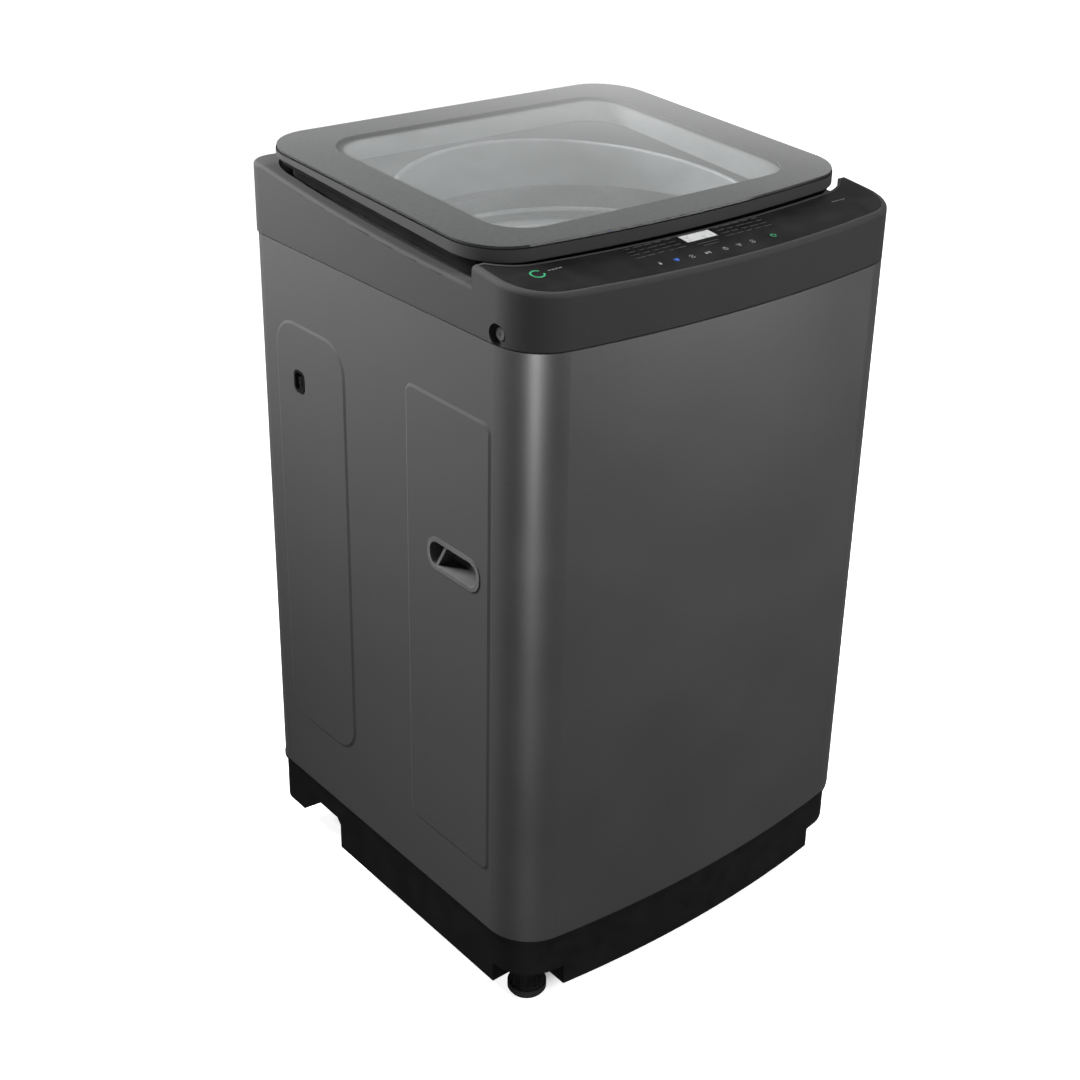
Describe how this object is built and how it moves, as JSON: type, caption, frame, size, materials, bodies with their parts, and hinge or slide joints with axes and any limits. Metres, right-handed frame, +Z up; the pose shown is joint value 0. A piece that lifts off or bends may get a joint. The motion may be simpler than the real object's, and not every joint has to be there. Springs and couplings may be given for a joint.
{
  "type": "top load washing machine",
  "caption": "Free-standing top load washing machine with a bowed grey cabinet, glass lid, touch panel, hung tub, basket, pulsator and belt drive.",
  "frame": {"origin": "on the floor under the middle of the machine's box", "axes": "+Z up, +X to the right seen from the front, +Y to the back"},
  "size_m": [0.5448, 0.534, 0.933],
  "materials": {
    "cabinet": "dark grey powder paint, fine metallic",
    "cover_plastic": "dark grey moulded plastic, satin",
    "black_plastic": "black moulded plastic",
    "gloss_black": "glossy black fascia",
    "display": "pale display window",
    "lid_glass": "smoked safety glass with a grey printed border",
    "lid_grey": "grey lid frame, satin",
    "white_plastic": "white moulded polypropylene",
    "tub_plastic": "natural polypropylene",
    "stainless": "brushed stainless steel",
    "zinc_steel": "zinc plated steel",
    "aluminium": "die cast aluminium",
    "rubber": "black rubber",
    "circuit": "green circuit board in clear resin",
    "motor_steel": "black lacquered laminated steel"
  },
  "bodies": {
    "machine": {"cabinet": "cabinet", "rear_panel": "zinc_steel", "rear_panel_screws": "zinc_steel", "cord_gland": "black_plastic", "drain_outlet": "black_plastic", "handle_cup_right": "black_plastic", "handle_cup_left": "black_plastic", "side_clip": "black_plastic", "base_frame": "black_plastic", "rear_feet": "rubber", "top_cover": "cover_plastic", "control_panel": "gloss_black", "display_window": "display", "board_tray": "black_plastic", "control_board": "circuit", "cover_screws": "zinc_steel", "inlet_valve": "white_plastic", "inlet_coil": "black_plastic", "fill_tube": "rubber", "detergent_housing": "white_plastic", "hinge_brackets": "black_plastic", "corner_brackets": "zinc_steel", "suspension_rods": "zinc_steel"},
    "level_foot_left": {"level_foot_left": "black_plastic", "foot_pad_left": "rubber"},
    "level_foot_right": {"level_foot_right": "black_plastic", "foot_pad_right": "rubber"},
    "detergent_drawer": {"detergent_drawer": "white_plastic"},
    "lid": {"lid_glass": "lid_glass", "lid_frame": "lid_grey", "lid_liner": "black_plastic", "lid_hinge_pins": "zinc_steel", "lid_bumpers": "rubber"},
    "tub": {"outer_tub": "tub_plastic", "tub_ring": "white_plastic", "mounting_plate": "zinc_steel", "gearcase": "aluminium", "spin_bearings": "stainless", "shaft_seal": "rubber", "motor_housing": "motor_steel", "motor_stator": "motor_steel", "drive_belt": "rubber", "run_capacitor": "aluminium", "drain_valve": "white_plastic", "valve_actuator": "black_plastic", "damper_cups": "black_plastic", "suspension_springs": "zinc_steel"},
    "basket": {"wash_basket": "stainless", "balance_ring": "white_plastic", "basket_base": "white_plastic", "basket_hub": "aluminium", "spin_tube": "stainless"},
    "lint_filter_right": {"lint_filter_right": "white_plastic"},
    "lint_filter_left": {"lint_filter_left": "white_plastic"},
    "pulsator": {"pulsator": "white_plastic", "wash_shaft": "stainless", "pulsator_cap": "white_plastic"},
    "drive_pulley": {"drive_pulley": "aluminium"},
    "motor_rotor": {"motor_rotor": "zinc_steel", "motor_pulley": "aluminium"}
  },
  "joints": [
    {"name": "lid_hinge", "type": "hinge", "parent": "machine", "child": "lid", "pos_m": [0, 0.24, 0.918], "axis": [-1, 0, 0], "range_deg": [0, 100]},
    {"name": "foot_left_screw", "type": "slide", "parent": "machine", "child": "level_foot_left", "axis": [0, 0, 1], "range_m": [-0.012, 0]},
    {"name": "foot_right_screw", "type": "slide", "parent": "machine", "child": "level_foot_right", "axis": [0, 0, 1], "range_m": [-0.012, 0]},
    {"name": "drawer_slide", "type": "slide", "parent": "machine", "child": "detergent_drawer", "axis": [0.7071, -0.7071, 0], "range_m": [0, 0.08]},
    {"name": "tub_bounce", "type": "slide", "parent": "machine", "child": "tub", "axis": [0, 0, 1], "range_m": [-0.04, 0.01], "stiffness_N_per_m": 12000, "springref_m": 0.02005, "deforming": ["suspension_springs"]},
    {"name": "basket_spin", "type": "hinge", "parent": "tub", "child": "basket", "pos_m": [0, -0.008, 0.33], "axis": [0, 0, 1], "continuous": true},
    {"name": "filter_right_tip", "type": "hinge", "parent": "basket", "child": "lint_filter_right", "pos_m": [0.211, -0.008, 0.43], "axis": [0, -1, 0], "range_deg": [0, 25]},
    {"name": "filter_left_tip", "type": "hinge", "parent": "basket", "child": "lint_filter_left", "pos_m": [-0.211, -0.008, 0.43], "axis": [0, 1, 0], "range_deg": [0, 25]},
    {"name": "pulley_spin", "type": "hinge", "parent": "tub", "child": "drive_pulley", "pos_m": [0, -0.008, 0.172], "axis": [0, 0, 1], "continuous": true},
    {"name": "motor_spin", "type": "hinge", "parent": "tub", "child": "motor_rotor", "pos_m": [0.122, 0.092, 0.172], "axis": [0, 0, 1], "continuous": true},
    {"name": "pulsator_spin", "type": "hinge", "parent": "tub", "child": "pulsator", "pos_m": [0, -0.008, 0.35], "axis": [0, 0, 1], "continuous": true}
  ],
  "couplings": [
    {"joint": "motor_spin", "follows": "pulley_spin", "ratio": 3.1293},
    {"joint": "pulsator_spin", "follows": "pulley_spin", "ratio": 0.2}
  ]
}
